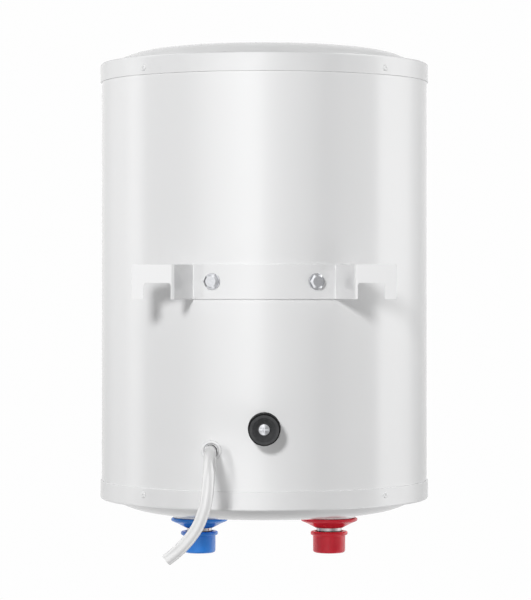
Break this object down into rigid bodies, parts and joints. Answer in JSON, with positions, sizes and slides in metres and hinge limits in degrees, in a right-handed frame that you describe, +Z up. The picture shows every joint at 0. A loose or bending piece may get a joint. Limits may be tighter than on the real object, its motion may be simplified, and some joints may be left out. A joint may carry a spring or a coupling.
{
  "type": "tank water heater",
  "caption": "Small upright cylindrical storage water heater that hangs on two wall hooks, with cold and hot pipe stubs below and a short supply lead at the back.",
  "frame": {"origin": "on the wall plane, midway between the two hook notches, at the height where the wall hooks bear on the bracket", "axes": "+Z up as the heater hangs, +Y out of its back towards the wall, +X to the cold pipe's side"},
  "size_m": [0.252, 0.3146, 0.3873],
  "materials": {
    "white_enamel": "gloss",
    "white_plastic": "gloss",
    "white_pvc": "satin",
    "zinc": "satin",
    "black_rubber": "matte",
    "blue_plastic": "gloss",
    "red_plastic": "gloss",
    "bare_steel": "satin",
    "foam": "matte",
    "copper": "satin",
    "magnesium": "matte",
    "cream_plastic": "satin",
    "black_plastic": "satin",
    "lamp_lens": "gloss",
    "brown_wire": "satin",
    "blue_wire": "satin",
    "earth_green": "satin",
    "grey_wire": "satin"
  },
  "bodies": {
    "heater": {"outer_shell": "white_enamel", "wall_bracket": "white_enamel", "top_cover_screws": "white_enamel", "bottom_cover_screws": "white_enamel", "top_cover": "white_plastic", "bottom_cover": "white_plastic", "cord_gland": "white_plastic", "inlet_diffuser": "white_plastic", "dial_plate": "white_plastic", "power_cord": "white_pvc", "sheathed_lead": "white_pvc", "bracket_bolts": "zinc", "bracket_washers": "zinc", "spacer_screw": "zinc", "flange_studs": "zinc", "flange_plate": "zinc", "flange_nuts": "zinc", "thermostat_screws": "zinc", "terminal_tray": "zinc", "tray_pillars": "zinc", "tray_screws": "zinc", "terminal_screws": "zinc", "cord_clamp_screws": "zinc", "wall_spacer": "black_rubber", "flange_gasket": "black_rubber", "cold_dish": "blue_plastic", "hot_dish": "red_plastic", "cold_nipple": "bare_steel", "hot_nipple": "bare_steel", "tank_barrel": "bare_steel", "tank_top_head": "bare_steel", "tank_bottom_head": "bare_steel", "bracket_bosses": "bare_steel", "outlet_tube": "bare_steel", "flange_ring": "bare_steel", "foam_jacket": "foam", "heating_element": "copper", "sensor_pocket": "copper", "thermostat_bulb": "copper", "cutout_bulb": "copper", "anode_rod": "magnesium", "thermostat_body": "cream_plastic", "terminal_block": "cream_plastic", "thermal_cutout": "black_plastic", "cord_clamp": "black_plastic", "indicator_lamp": "black_plastic", "indicator_lens": "lamp_lens", "line_core": "brown_wire", "neutral_core": "blue_wire", "earth_core": "earth_green", "earth_wire": "earth_green", "internal_wires": "grey_wire"},
    "knob": {"temperature_knob": "white_plastic", "thermostat_spindle": "zinc"},
    "reset": {"reset_button": "red_plastic"},
    "cold_cap": {"cold_thread_cap": "blue_plastic"},
    "hot_cap": {"hot_thread_cap": "red_plastic"}
  },
  "joints": [
    {"name": "knob_turn", "type": "hinge", "parent": "heater", "child": "knob", "pos_m": [0, -0.143, -0.115], "axis": [0, 1, 0], "range_deg": [0, 270]},
    {"name": "reset_press", "type": "slide", "parent": "heater", "child": "reset", "axis": [0, 0, 1], "range_m": [0, 0.0015], "stiffness_N_per_m": 300, "springref_m": -0.001},
    {"name": "cold_cap_pull", "type": "slide", "parent": "heater", "child": "cold_cap", "axis": [0, 0, -1], "range_m": [0, 0.04]},
    {"name": "hot_cap_pull", "type": "slide", "parent": "heater", "child": "hot_cap", "axis": [0, 0, -1], "range_m": [0, 0.04]}
  ]
}
